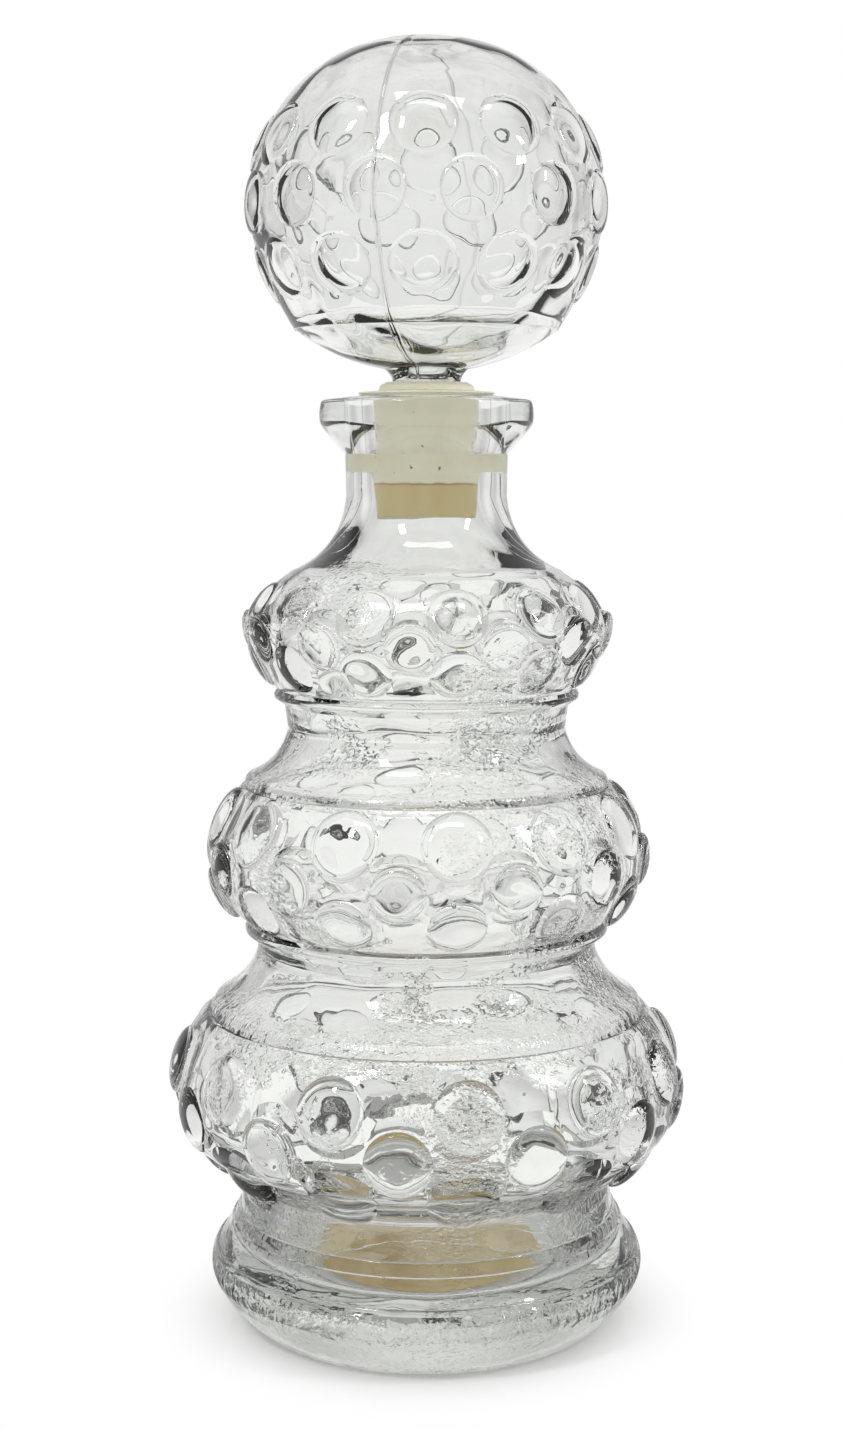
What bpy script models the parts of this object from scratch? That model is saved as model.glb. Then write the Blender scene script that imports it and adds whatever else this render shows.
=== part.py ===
"""A clear glass decanter of three dotted tiers on a round base, with a hollow glass ball as its stopper.

The bottle stands on z = 0 with its axis on Z. Its front, at -Y, faces the viewer. Lengths are in metres.
"""
import math

import bmesh
import bpy
from mathutils import Matrix, Vector

# Bottle foot and base, from the table up
FOOT_RADIUS = 0.0466
FOOT_RING_WIDTH = 0.0075
RECESS_DEPTH = 0.0040
RECESS_DRAFT = 0.0020
BASE_RADIUS = 0.0545
BASE_EDGE_HEIGHT = 0.0093
FOOT_BULGE = 0.0006
ROLL_HEIGHT = 0.0099
ROLL_BULGE = 0.0013
ROLL_TOP_RADIUS = 0.0550
FLARE_STEP = 0.0022
FLARE_HEIGHT = 0.0098
FLARE_HOLLOW = 0.0003
BAND_RADIUS = 0.0468
BAND_HEIGHT = 0.0084
BAND_BULGE = 0.0002

# Lower tier
LOWER_FLANK_SHARE = 0.586207
LOWER_FLANK_HEIGHT = 0.0087
LOWER_FLANK_BULGE = 0.0010
LOWER_BELLY_RADIUS = 0.0642
LOWER_UNDER_HEIGHT = 0.0114
LOWER_UNDER_BULGE = 0.0022
LOWER_SHOULDER_INSET = 0.0074
LOWER_SHOULDER_HEIGHT = 0.0235
LOWER_SHOULDER_BULGE = 0.0034

# Step and waist between the lower and the middle tier
LOWER_STEP_INSET = 0.0008
LOWER_STEP_LEAN = 0.0021
LOWER_STEP_HEIGHT = 0.0035
LOWER_STEP_BULGE = 0.0003
LOWER_WAIST_RADIUS = 0.0437
LOWER_WAIST_HEIGHT = 0.0118
LOWER_WAIST_HOLLOW = 0.0014
MIDDLE_FOOT_RISE = 0.0082
MIDDLE_RING_RADIUS = 0.0467
MIDDLE_RING_DROP = 0.0011
MIDDLE_RING_HEIGHT = 0.0016

# Middle tier
MIDDLE_FOOT_RADIUS = 0.0459
MIDDLE_BELLY_RADIUS = 0.0556
MIDDLE_UNDER_HEIGHT = 0.0180
MIDDLE_UNDER_BULGE = 0.0027
MIDDLE_SHOULDER_INSET = 0.0083
MIDDLE_SHOULDER_HEIGHT = 0.0168
MIDDLE_SHOULDER_BULGE = 0.0013

# Step and waist between the middle and the upper tier
MIDDLE_STEP_INSET = 0.0006
MIDDLE_STEP_LEAN = 0.0010
MIDDLE_STEP_HEIGHT = 0.0025
MIDDLE_STEP_BULGE = 0.0002
UPPER_WAIST_RADIUS = 0.0355
UPPER_WAIST_HEIGHT = 0.0122
UPPER_WAIST_HOLLOW = 0.0020
UPPER_FOOT_RISE = 0.0100
UPPER_RING_RADIUS = 0.0389
UPPER_RING_DROP = 0.0010
UPPER_RING_HEIGHT = 0.0012

# Upper tier
UPPER_FOOT_RADIUS = 0.0382
UPPER_BELLY_RADIUS = 0.0457
UPPER_UNDER_HEIGHT = 0.0145
UPPER_UNDER_BULGE = 0.0009
UPPER_SHOULDER_INSET = 0.0107
UPPER_SHOULDER_HEIGHT = 0.0147
UPPER_SHOULDER_BULGE = 0.0018

# Neck and lip
SHOULDER_LINE_STEP = 0.0005
NECK_RADIUS = 0.0204
NECK_FLARE_HEIGHT = 0.0188
NECK_FLARE_HOLLOW = 0.0035
NECK_HEIGHT = 0.0108
LIP_RADIUS = 0.0271
LIP_UNDER_HEIGHT = 0.0075
LIP_UNDER_HOLLOW = 0.0001
LIP_SIDE_HEIGHT = 0.0048
LIP_ROUNDING = 0.0012
LIP_CROWN = 0.0011
LIP_CROWN_RADIUS = 0.0170
BORE_RADIUS = 0.0140
BORE_FLARE = 0.0010

# Glass thickness of the bottle
WALL = 0.0043
WAIST_WALL = 0.0046
FLOOR_THICKNESS = 0.0115
FLOOR_ROUNDING = 0.0070
FLOOR_ROUNDING_BULGE = 0.0018
DIP_DEPTH = 0.0008
DIP_RADIUS = 0.0120

# Rows of raised dots, each row a third of the pitch round from a front dot
DOTS_A_ROW = 12
DOT_SIDES = 8
DOT_RINGS = 4
DOT_SUNK_SHARE = 0.7
LOWER_DOT_RELIEF = 0.0022
MIDDLE_DOT_RELIEF = 0.0019
UPPER_DOT_RELIEF = 0.0016
BALL_DOT_RELIEF = 0.0010

LOWER_TOP_DOT_DIAMETER = 0.0172
LOWER_MIDDLE_DOT_DIAMETER = 0.0168
LOWER_BOTTOM_DOT_DIAMETER = 0.0176
LOWER_TOP_DOT_RISE = 0.0120
LOWER_MIDDLE_DOT_RISE = 0.0003
LOWER_BOTTOM_DOT_DROP = 0.0123
LOWER_DOT_TURN = math.radians(9.0)

MIDDLE_TOP_DOT_DIAMETER = 0.0176
MIDDLE_MIDDLE_DOT_DIAMETER = 0.0135
MIDDLE_BOTTOM_DOT_DIAMETER = 0.0146
MIDDLE_TOP_DOT_RISE = 0.0089
MIDDLE_MIDDLE_DOT_DROP = 0.0021
MIDDLE_BOTTOM_DOT_DROP = 0.0108
MIDDLE_DOT_TURN = math.radians(8.0)

UPPER_TOP_DOT_DIAMETER = 0.0156
UPPER_MIDDLE_DOT_DIAMETER = 0.0126
UPPER_BOTTOM_DOT_DIAMETER = 0.0134
UPPER_TOP_DOT_RISE = 0.0066
UPPER_MIDDLE_DOT_DROP = 0.0013
UPPER_BOTTOM_DOT_DROP = 0.0077
UPPER_DOT_TURN = math.radians(10.0)

BALL_TOP_DOT_DIAMETER = 0.0160
BALL_MIDDLE_DOT_DIAMETER = 0.0152
BALL_BOTTOM_DOT_DIAMETER = 0.0168
BALL_TOP_DOT_RISE = 0.0187
BALL_MIDDLE_DOT_RISE = 0.0032
BALL_BOTTOM_DOT_DROP = 0.0140
BALL_DOT_TURN = math.radians(-1.0)

# Ball stopper, from the lower end of its stem up
STEM_RADIUS = 0.0085
STEM_DEPTH = 0.0282
STEM_TAPER = 0.0005
STEM_BORE_RADIUS = 0.0056
STEM_FILLET_WIDTH = 0.0021
STEM_FILLET_HEIGHT = 0.0033
STEM_FILLET_HOLLOW = 0.0004
UNDER_CONE_HEIGHT = 0.0101
UNDER_CONE_BULGE = 0.0014
BALL_CORNER_RADIUS = 0.0334
BALL_CORNER_STEP = 0.0006
BALL_RADIUS = 0.0445
BALL_LOWER_HEIGHT = 0.0269
BALL_LOWER_BULGE = 0.0014
BALL_UPPER_HEIGHT = 0.0311
BALL_UPPER_BULGE = 0.0032
BALL_CAP_RADIUS = 0.0332
BALL_CAP_HEIGHT = 0.0124
BALL_CAP_BULGE = 0.0042
BALL_WALL = 0.0030

# Plastic sleeve that holds the stem and plugs the neck
SLEEVE_CLEARANCE = 0.0003
FLANGE_RADIUS = 0.0172
FLANGE_THICKNESS = 0.0005
DOME_RADIUS = 0.0106
DOME_FOOT_RADIUS = 0.0121
DOME_FOOT_RISE = 0.0006
DOME_HEIGHT = 0.0025
SLEEVE_BODY_RECESS = 0.0003
SLEEVE_BODY_LENGTH = 0.0130
RIB_LENGTH = 0.0063
TAPER_LENGTH = 0.0029
PLUG_RADIUS = 0.0132
PLUG_TIP_RADIUS = 0.0125
PLUG_LENGTH = 0.0084
PLUG_ROUNDING = 0.0003
CUP_FLOOR = 0.0015

# Plain paper disc stuck under the base
LABEL_RADIUS = 0.0315
LABEL_THICKNESS = 0.0004
LABEL_CLEARANCE = 0.0003

# How finely the turned shapes are cut
OUTSIDE_STEPS = 36
INSIDE_STEPS = 24
MERGE_DISTANCE = 0.000002
CUT_OVERRUN = 0.0100


def collection(name):
    """A new collection in the scene."""
    made = bpy.data.collections.new(name)
    bpy.context.scene.collection.children.link(made)
    return made


def material(name, colour, roughness, metallic=0.0, transmission=0.0, ior=1.5):
    """A plain Principled material."""
    made = bpy.data.materials.new(name)
    made.use_nodes = True
    shader = made.node_tree.nodes["Principled BSDF"]
    shader.inputs["Base Color"].default_value = (*colour, 1.0)
    shader.inputs["Roughness"].default_value = roughness
    shader.inputs["Metallic"].default_value = metallic
    shader.inputs["Transmission Weight"].default_value = transmission
    shader.inputs["IOR"].default_value = ior
    made.diffuse_color = (*colour, 1.0)
    return made


def bulged(start, end, bulge, steps):
    """Points after start, up to and with end, on an arc that stands bulge proud of the chord.

    The outline runs from the bottom up, so a positive bulge swells away from the axis.
    """
    start, end = Vector(start), Vector(end)
    chord = end - start
    across = Vector((chord.y, -chord.x)).normalized()
    points = []
    for step in range(1, steps + 1):
        share = step / steps
        rise = 4 * bulge * share * (1 - share)
        points.append(tuple(start + chord * share + across * rise))
    points[-1] = tuple(end)
    return points


def turned(name, outline, where, steps):
    """A solid of revolution from an outline of (radius, height), both ends of which are on the axis.

    The outline runs from the bottom up, and the Screw modifier takes it from the top down.
    """
    mesh = bpy.data.meshes.new(name)
    points = [(radius, 0.0, height) for radius, height in reversed(outline)]
    edges = [(i, i + 1) for i in range(len(points) - 1)]
    mesh.from_pydata(points, edges, [])
    made = bpy.data.objects.new(name, mesh)
    where.objects.link(made)
    screw = made.modifiers.new("turn", "SCREW")
    screw.axis = "Z"
    screw.angle = math.tau
    screw.steps = steps
    screw.render_steps = steps
    screw.use_merge_vertices = True
    screw.merge_threshold = MERGE_DISTANCE
    screw.use_smooth_shade = True
    return made


def join(piece, other, operation):
    """A Boolean of piece with other, which stays as a hidden helper."""
    other.hide_render = True
    other.display_type = "WIRE"
    boolean = piece.modifiers.new(f"{operation.lower()} {other.name}", "BOOLEAN")
    boolean.operation = operation
    boolean.solver = "EXACT"
    boolean.object = other


def seat(outline, height):
    """Radius and outward normal, as (radial, vertical), of an outline at a height on its outer side."""
    for (radius_a, height_a), (radius_b, height_b) in zip(outline, outline[1:]):
        if height_a <= height < height_b:
            share = (height - height_a) / (height_b - height_a)
            radius = radius_a + (radius_b - radius_a) * share
            normal = Vector((height_b - height_a, radius_a - radius_b)).normalized()
            return radius, normal
    raise ValueError("the height is off the outline")


def wall_drop(outline, height, reach):
    """How far the wall falls away from the plane that touches it at a height, a reach from there.

    It is the mean of the drop round the axis and of the drops above and below.
    """
    radius, normal = seat(outline, height)
    touch = Vector((radius, height))
    around = reach**2 / (2 * radius) * normal.x
    along = 0.0
    for side in (-1, 1):
        level = height + side * reach * normal.x
        other = Vector((seat(outline, level)[0], level))
        along += (touch - other).dot(normal) / 2
    return (around + along) / 2


def dots(name, rows, where):
    """Squashed balls sunk in the glass, one ring of them for each row, all in one helper mesh.

    A row is (outline, height, diameter, turn, relief). What stands proud of the wall is a shallow lens.
    """
    mesh = bpy.data.meshes.new(name)
    made = bpy.data.objects.new(name, mesh)
    where.objects.link(made)
    shape = bmesh.new()
    for outline, height, diameter, turn, relief in rows:
        radius, normal = seat(outline, height)
        half_depth = relief / (1 - DOT_SUNK_SHARE)
        sunk = half_depth * DOT_SUNK_SHARE
        edge_share = (sunk - wall_drop(outline, height, diameter / 2)) / half_depth
        half_width = diameter / 2 / math.sqrt(1 - edge_share**2)
        centre = Vector((radius, 0.0, height)) - Vector((normal.x, 0.0, normal.y)) * sunk
        size = Matrix.Diagonal((half_width, half_width, half_depth, 1.0))
        lean = Matrix.Rotation(math.atan2(normal.x, normal.y), 4, "Y")
        for index in range(DOTS_A_ROW):
            angle = turn + math.tau * index / DOTS_A_ROW - math.tau / 4
            place = Matrix.Rotation(angle, 4, "Z") @ Matrix.Translation(centre) @ lean @ size
            bmesh.ops.create_uvsphere(
                shape, u_segments=DOT_SIDES, v_segments=DOT_RINGS, radius=1.0, matrix=place
            )
    shape.to_mesh(mesh)
    shape.free()
    mesh.shade_smooth()
    return made


# Radii that follow the tier they belong to
flank_radius = BAND_RADIUS + (LOWER_BELLY_RADIUS - BAND_RADIUS) * LOWER_FLANK_SHARE
lower_shoulder_radius = LOWER_BELLY_RADIUS - LOWER_SHOULDER_INSET
middle_shoulder_radius = MIDDLE_BELLY_RADIUS - MIDDLE_SHOULDER_INSET
upper_shoulder_radius = UPPER_BELLY_RADIUS - UPPER_SHOULDER_INSET

# Heights of the bottle's stations, each built on the one below
base_edge = BASE_EDGE_HEIGHT
roll_top = base_edge + ROLL_HEIGHT
flare_top = roll_top + FLARE_HEIGHT
band_top = flare_top + BAND_HEIGHT
lower_flank = band_top + LOWER_FLANK_HEIGHT
lower_belly = lower_flank + LOWER_UNDER_HEIGHT
lower_shoulder = lower_belly + LOWER_SHOULDER_HEIGHT
lower_step = lower_shoulder + LOWER_STEP_HEIGHT
lower_waist = lower_step + LOWER_WAIST_HEIGHT
middle_foot = lower_waist + MIDDLE_FOOT_RISE
middle_belly = middle_foot + MIDDLE_UNDER_HEIGHT
middle_shoulder = middle_belly + MIDDLE_SHOULDER_HEIGHT
middle_step = middle_shoulder + MIDDLE_STEP_HEIGHT
upper_waist = middle_step + UPPER_WAIST_HEIGHT
upper_foot = upper_waist + UPPER_FOOT_RISE
upper_belly = upper_foot + UPPER_UNDER_HEIGHT
upper_shoulder = upper_belly + UPPER_SHOULDER_HEIGHT
neck_foot = upper_shoulder + SHOULDER_LINE_STEP + NECK_FLARE_HEIGHT
neck_top = neck_foot + NECK_HEIGHT
lip_foot = neck_top + LIP_UNDER_HEIGHT
lip_side = lip_foot + LIP_SIDE_HEIGHT
lip_top = lip_side + LIP_ROUNDING
rim = lip_top + LIP_CROWN


def bottle_outline():
    """The outside of the bottle from the middle of its underside up to the middle of its mouth."""
    recess_foot = FOOT_RADIUS - FOOT_RING_WIDTH
    points = [
        (0.0, RECESS_DEPTH),
        (recess_foot - RECESS_DRAFT, RECESS_DEPTH),
        (recess_foot, 0.0),
        (FOOT_RADIUS, 0.0),
    ]
    points += bulged(points[-1], (BASE_RADIUS, base_edge), FOOT_BULGE, 2)
    points += bulged(points[-1], (ROLL_TOP_RADIUS, roll_top), ROLL_BULGE, 3)
    points += bulged(points[-1], (BAND_RADIUS + FLARE_STEP, flare_top), -FLARE_HOLLOW, 2)
    points += bulged(points[-1], (BAND_RADIUS, band_top), BAND_BULGE, 1)
    points += bulged(points[-1], (flank_radius, lower_flank), LOWER_FLANK_BULGE, 2)
    points += bulged(points[-1], (LOWER_BELLY_RADIUS, lower_belly), LOWER_UNDER_BULGE, 2)
    points += bulged(points[-1], (lower_shoulder_radius, lower_shoulder), LOWER_SHOULDER_BULGE, 3)
    points += step_points(points[-1], LOWER_STEP_INSET, LOWER_STEP_LEAN, lower_step, LOWER_STEP_BULGE)
    points += bulged(points[-1], (LOWER_WAIST_RADIUS, lower_waist), -LOWER_WAIST_HOLLOW, 3)
    points += ridge(
        MIDDLE_RING_RADIUS, MIDDLE_FOOT_RADIUS, middle_foot, MIDDLE_RING_DROP, MIDDLE_RING_HEIGHT
    )
    points += bulged(points[-1], (MIDDLE_BELLY_RADIUS, middle_belly), MIDDLE_UNDER_BULGE, 3)
    points += bulged(points[-1], (middle_shoulder_radius, middle_shoulder), MIDDLE_SHOULDER_BULGE, 3)
    points += step_points(points[-1], MIDDLE_STEP_INSET, MIDDLE_STEP_LEAN, middle_step, MIDDLE_STEP_BULGE)
    points += bulged(points[-1], (UPPER_WAIST_RADIUS, upper_waist), -UPPER_WAIST_HOLLOW, 3)
    points += ridge(
        UPPER_RING_RADIUS, UPPER_FOOT_RADIUS, upper_foot, UPPER_RING_DROP, UPPER_RING_HEIGHT
    )
    points += bulged(points[-1], (UPPER_BELLY_RADIUS, upper_belly), UPPER_UNDER_BULGE, 2)
    points += bulged(points[-1], (upper_shoulder_radius, upper_shoulder), UPPER_SHOULDER_BULGE, 3)
    points += [(upper_shoulder_radius - SHOULDER_LINE_STEP, upper_shoulder + SHOULDER_LINE_STEP)]
    points += bulged(points[-1], (NECK_RADIUS, neck_foot), -NECK_FLARE_HOLLOW, 4)
    points += [(NECK_RADIUS, neck_top)]
    points += bulged(points[-1], (LIP_RADIUS, lip_foot), -LIP_UNDER_HOLLOW, 3)
    points += [(LIP_RADIUS, lip_side), (LIP_RADIUS - LIP_ROUNDING, lip_top)]
    points += [(LIP_CROWN_RADIUS, rim), (0.0, rim)]
    return points


def step_points(shoulder, inset, lean, top_height, bulge):
    """The plain step that stands on a tier's shoulder, set in from it and leaning towards the axis."""
    foot = (shoulder[0] - inset, shoulder[1])
    top = (foot[0] - lean, top_height)
    return [foot] + bulged(foot, top, bulge, 2)


def ridge(ring_radius, foot_radius, foot_height, ring_drop, ring_height):
    """The slight ridge round the foot of a tier, from its lower slope up to the tier's wall."""
    proud = ring_radius - foot_radius
    ring_top = foot_height - ring_drop
    ring_foot = ring_top - ring_height
    slope_foot = ring_foot - proud - ring_height
    return [
        (foot_radius - proud - ring_height, slope_foot),
        (ring_radius, ring_foot),
        (ring_radius, ring_top),
        (foot_radius, foot_height),
    ]


def cavity_outline():
    """The hollow of the bottle from the middle of its floor up through the mouth."""
    floor = RECESS_DEPTH + FLOOR_THICKNESS
    base_wall = BAND_RADIUS - WAIST_WALL
    points = [(0.0, floor - DIP_DEPTH), (DIP_RADIUS, floor)]
    points += [(base_wall - FLOOR_ROUNDING, floor)]
    points += bulged(points[-1], (base_wall, floor + FLOOR_ROUNDING), FLOOR_ROUNDING_BULGE, 2)
    points += [(base_wall, band_top)]
    points += [(flank_radius - WALL, lower_flank)]
    points += bulged(points[-1], (LOWER_BELLY_RADIUS - WALL, lower_belly), LOWER_UNDER_BULGE, 2)
    points += bulged(points[-1], (lower_shoulder_radius - WALL, lower_shoulder), LOWER_SHOULDER_BULGE, 2)
    points += bulged(points[-1], (LOWER_WAIST_RADIUS - WAIST_WALL, lower_waist), -LOWER_WAIST_HOLLOW, 2)
    points += [(MIDDLE_FOOT_RADIUS - WAIST_WALL, middle_foot)]
    points += bulged(points[-1], (MIDDLE_BELLY_RADIUS - WALL, middle_belly), MIDDLE_UNDER_BULGE, 2)
    inner = (middle_shoulder_radius - WALL, middle_shoulder)
    points += bulged(points[-1], inner, MIDDLE_SHOULDER_BULGE, 2)
    points += bulged(points[-1], (UPPER_WAIST_RADIUS - WAIST_WALL, upper_waist), -UPPER_WAIST_HOLLOW, 2)
    points += [(UPPER_FOOT_RADIUS - WAIST_WALL, upper_foot)]
    points += bulged(points[-1], (UPPER_BELLY_RADIUS - WALL, upper_belly), UPPER_UNDER_BULGE, 2)
    points += bulged(points[-1], (upper_shoulder_radius - WALL, upper_shoulder), UPPER_SHOULDER_BULGE, 2)
    points += bulged(points[-1], (BORE_RADIUS, neck_foot), -NECK_FLARE_HOLLOW, 3)
    points += [(BORE_RADIUS, rim - BORE_FLARE), (BORE_RADIUS + BORE_FLARE, rim)]
    points += [(BORE_RADIUS + BORE_FLARE, rim + CUT_OVERRUN), (0.0, rim + CUT_OVERRUN)]
    return points


# Heights of the stopper's stations: its flange rests on the rim, and the stem goes down in the sleeve
flange_foot = rim + SLEEVE_CLEARANCE
flange_top = flange_foot + FLANGE_THICKNESS
dome_top = flange_top + DOME_HEIGHT
body_foot = flange_foot - SLEEVE_BODY_LENGTH
rib_foot = body_foot - RIB_LENGTH
plug_top = rib_foot - TAPER_LENGTH
plug_foot = plug_top - PLUG_LENGTH
stem_foot = dome_top - STEM_DEPTH
stem_top = dome_top + STEM_FILLET_HEIGHT
cone_top = stem_top + UNDER_CONE_HEIGHT
ball_middle = cone_top + BALL_LOWER_HEIGHT
ball_cap = ball_middle + BALL_UPPER_HEIGHT
ball_top = ball_cap + BALL_CAP_HEIGHT


def ball_outline():
    """The outside of the ball stopper from the middle of its stem's lower end up to its crown."""
    stem_end = STEM_RADIUS - STEM_TAPER
    points = [(0.0, stem_foot), (stem_end, stem_foot), (STEM_RADIUS, dome_top)]
    points += bulged(points[-1], (STEM_RADIUS + STEM_FILLET_WIDTH, stem_top), -STEM_FILLET_HOLLOW, 2)
    corner = (BALL_CORNER_RADIUS - BALL_CORNER_STEP, cone_top - BALL_CORNER_STEP)
    points += bulged(points[-1], corner, UNDER_CONE_BULGE, 2)
    points += [(BALL_CORNER_RADIUS, cone_top)]
    points += bulged(points[-1], (BALL_RADIUS, ball_middle), BALL_LOWER_BULGE, 4)
    points += bulged(points[-1], (BALL_CAP_RADIUS, ball_cap), BALL_UPPER_BULGE, 4)
    points += bulged(points[-1], (0.0, ball_top), BALL_CAP_BULGE, 3)
    return points


def ball_cavity_outline():
    """The hollow of the ball, which opens through its stem."""
    points = [(0.0, stem_foot - CUT_OVERRUN), (STEM_BORE_RADIUS, stem_foot - CUT_OVERRUN)]
    points += [(STEM_BORE_RADIUS, stem_top + BALL_WALL)]
    inner_corner = (BALL_CORNER_RADIUS - BALL_WALL, cone_top + BALL_WALL)
    points += bulged(points[-1], inner_corner, UNDER_CONE_BULGE, 2)
    points += bulged(points[-1], (BALL_RADIUS - BALL_WALL, ball_middle), BALL_LOWER_BULGE, 3)
    points += bulged(points[-1], (BALL_CAP_RADIUS - BALL_WALL, ball_cap), BALL_UPPER_BULGE, 3)
    points += bulged(points[-1], (0.0, ball_top - BALL_WALL), BALL_CAP_BULGE, 2)
    return points


def sleeve_outline():
    """The outside of the plastic sleeve, from the middle of its lower end up."""
    rib_radius = BORE_RADIUS - SLEEVE_CLEARANCE
    body_radius = rib_radius - SLEEVE_BODY_RECESS
    return [
        (0.0, plug_foot),
        (PLUG_TIP_RADIUS - PLUG_ROUNDING, plug_foot),
        (PLUG_TIP_RADIUS, plug_foot + PLUG_ROUNDING),
        (PLUG_RADIUS, plug_top),
        (rib_radius, rib_foot),
        (rib_radius, body_foot - SLEEVE_BODY_RECESS),
        (body_radius, body_foot),
        (body_radius, flange_foot),
        (FLANGE_RADIUS, flange_foot),
        (FLANGE_RADIUS, flange_top),
        (DOME_FOOT_RADIUS, flange_top + DOME_FOOT_RISE),
        (DOME_RADIUS, dome_top),
        (0.0, dome_top),
    ]


def sleeve_bore_outline():
    """The hole down into the sleeve that holds the stem, closed below it by the cup's floor."""
    bore = STEM_RADIUS + SLEEVE_CLEARANCE
    bore_foot = bore - STEM_TAPER
    cup_floor = plug_foot + CUP_FLOOR
    return [
        (0.0, cup_floor),
        (bore_foot, cup_floor),
        (bore_foot, stem_foot),
        (bore, dome_top),
        (bore, dome_top + CUT_OVERRUN),
        (0.0, dome_top + CUT_OVERRUN),
    ]


def label_outline():
    """The paper disc, just under the ceiling of the recess."""
    top = RECESS_DEPTH - LABEL_CLEARANCE
    foot = top - LABEL_THICKNESS
    return [(0.0, foot), (LABEL_RADIUS, foot), (LABEL_RADIUS, top), (0.0, top)]


def bottle_dot_rows(outline):
    """The dots of the three tiers, as their top rows, their middle rows and their bottom rows."""
    half_pitch = math.tau / DOTS_A_ROW / 2
    lower, middle, upper = LOWER_DOT_TURN, MIDDLE_DOT_TURN, UPPER_DOT_TURN
    lower_heights = (LOWER_TOP_DOT_RISE, LOWER_MIDDLE_DOT_RISE, -LOWER_BOTTOM_DOT_DROP)
    middle_heights = (MIDDLE_TOP_DOT_RISE, -MIDDLE_MIDDLE_DOT_DROP, -MIDDLE_BOTTOM_DOT_DROP)
    upper_heights = (UPPER_TOP_DOT_RISE, -UPPER_MIDDLE_DOT_DROP, -UPPER_BOTTOM_DOT_DROP)
    lower_sizes = (LOWER_TOP_DOT_DIAMETER, LOWER_MIDDLE_DOT_DIAMETER, LOWER_BOTTOM_DOT_DIAMETER)
    middle_sizes = (MIDDLE_TOP_DOT_DIAMETER, MIDDLE_MIDDLE_DOT_DIAMETER, MIDDLE_BOTTOM_DOT_DIAMETER)
    upper_sizes = (UPPER_TOP_DOT_DIAMETER, UPPER_MIDDLE_DOT_DIAMETER, UPPER_BOTTOM_DOT_DIAMETER)
    tiers = [
        (lower_belly, lower_heights, lower_sizes, lower, LOWER_DOT_RELIEF),
        (middle_belly, middle_heights, middle_sizes, middle, MIDDLE_DOT_RELIEF),
        (upper_belly, upper_heights, upper_sizes, upper, UPPER_DOT_RELIEF),
    ]
    levels = []
    for level in range(3):
        shift = half_pitch if level == 1 else 0.0
        row = []
        for belly, heights, sizes, turn, relief in tiers:
            row.append((outline, belly + heights[level], sizes[level], turn - shift, relief))
        levels.append(row)
    return levels


def ball_dot_rows(outline):
    """The dots of the ball, as its two outer rows, and its middle row half a pitch round from them."""
    turn = BALL_DOT_TURN
    half_pitch = math.tau / DOTS_A_ROW / 2
    top = ball_middle + BALL_TOP_DOT_RISE
    middle = ball_middle + BALL_MIDDLE_DOT_RISE
    bottom = ball_middle - BALL_BOTTOM_DOT_DROP
    return [
        [
            (outline, top, BALL_TOP_DOT_DIAMETER, turn, BALL_DOT_RELIEF),
            (outline, bottom, BALL_BOTTOM_DOT_DIAMETER, turn, BALL_DOT_RELIEF),
        ],
        [(outline, middle, BALL_MIDDLE_DOT_DIAMETER, turn + half_pitch, BALL_DOT_RELIEF)],
    ]


def make_bottle(parts, helpers, glass):
    """The glass body: a turned solid with its dots, hollowed from the mouth down."""
    outline = bottle_outline()
    made = turned("bottle", outline, parts, OUTSIDE_STEPS)
    names = ("top_dots", "middle_dots", "bottom_dots")
    for name, rows in zip(names, bottle_dot_rows(outline)):
        join(made, dots(name, rows, helpers), "UNION")
    join(made, turned("bottle_hollow", cavity_outline(), helpers, INSIDE_STEPS), "DIFFERENCE")
    made.data.materials.append(glass)
    return made


def make_ball(parts, helpers, glass):
    """The hollow glass ball and its stem."""
    outline = ball_outline()
    made = turned("ball_stopper", outline, parts, OUTSIDE_STEPS)
    names = ("ball_outer_dots", "ball_middle_dots")
    for name, rows in zip(names, ball_dot_rows(outline)):
        join(made, dots(name, rows, helpers), "UNION")
    join(made, turned("ball_hollow", ball_cavity_outline(), helpers, INSIDE_STEPS), "DIFFERENCE")
    made.data.materials.append(glass)
    return made


def make_sleeve(parts, helpers, plastic):
    """The moulded plastic sleeve between the stem and the neck."""
    made = turned("stopper_sleeve", sleeve_outline(), parts, INSIDE_STEPS)
    join(made, turned("sleeve_bore", sleeve_bore_outline(), helpers, INSIDE_STEPS), "DIFFERENCE")
    made.data.materials.append(plastic)
    return made


def make_label(parts, paper):
    """The plain paper disc under the base."""
    made = turned("base_label", label_outline(), parts, INSIDE_STEPS)
    made.data.materials.append(paper)
    return made


for thing in list(bpy.data.objects):
    bpy.data.objects.remove(thing, do_unlink=True)

decanter = collection("glass_decanter")
cutters = collection("cutters")
clear_glass = material("clear_glass", (0.93, 0.95, 0.94), 0.02, transmission=1.0)
cream_plastic = material("cream_plastic", (0.78, 0.74, 0.58), 0.35)
tan_paper = material("tan_paper", (0.60, 0.48, 0.28), 0.85)

make_bottle(decanter, cutters, clear_glass)
make_sleeve(decanter, cutters, cream_plastic)
make_ball(decanter, cutters, clear_glass)
make_label(decanter, tan_paper)
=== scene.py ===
# %% [markdown]
# # A dotted glass decanter
#
# The object is one tall clear bottle of three dotted tiers on a round base. A hollow glass ball is its stopper,
# held by a cream plastic sleeve, and a tan paper disc is glued up under its foot.
# The plan is: load the CAD model, set the camera, turn each glass piece as one closed outline, raise its dots,
# then give each piece its finish and put the studio round it.

import math
from types import SimpleNamespace

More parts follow.
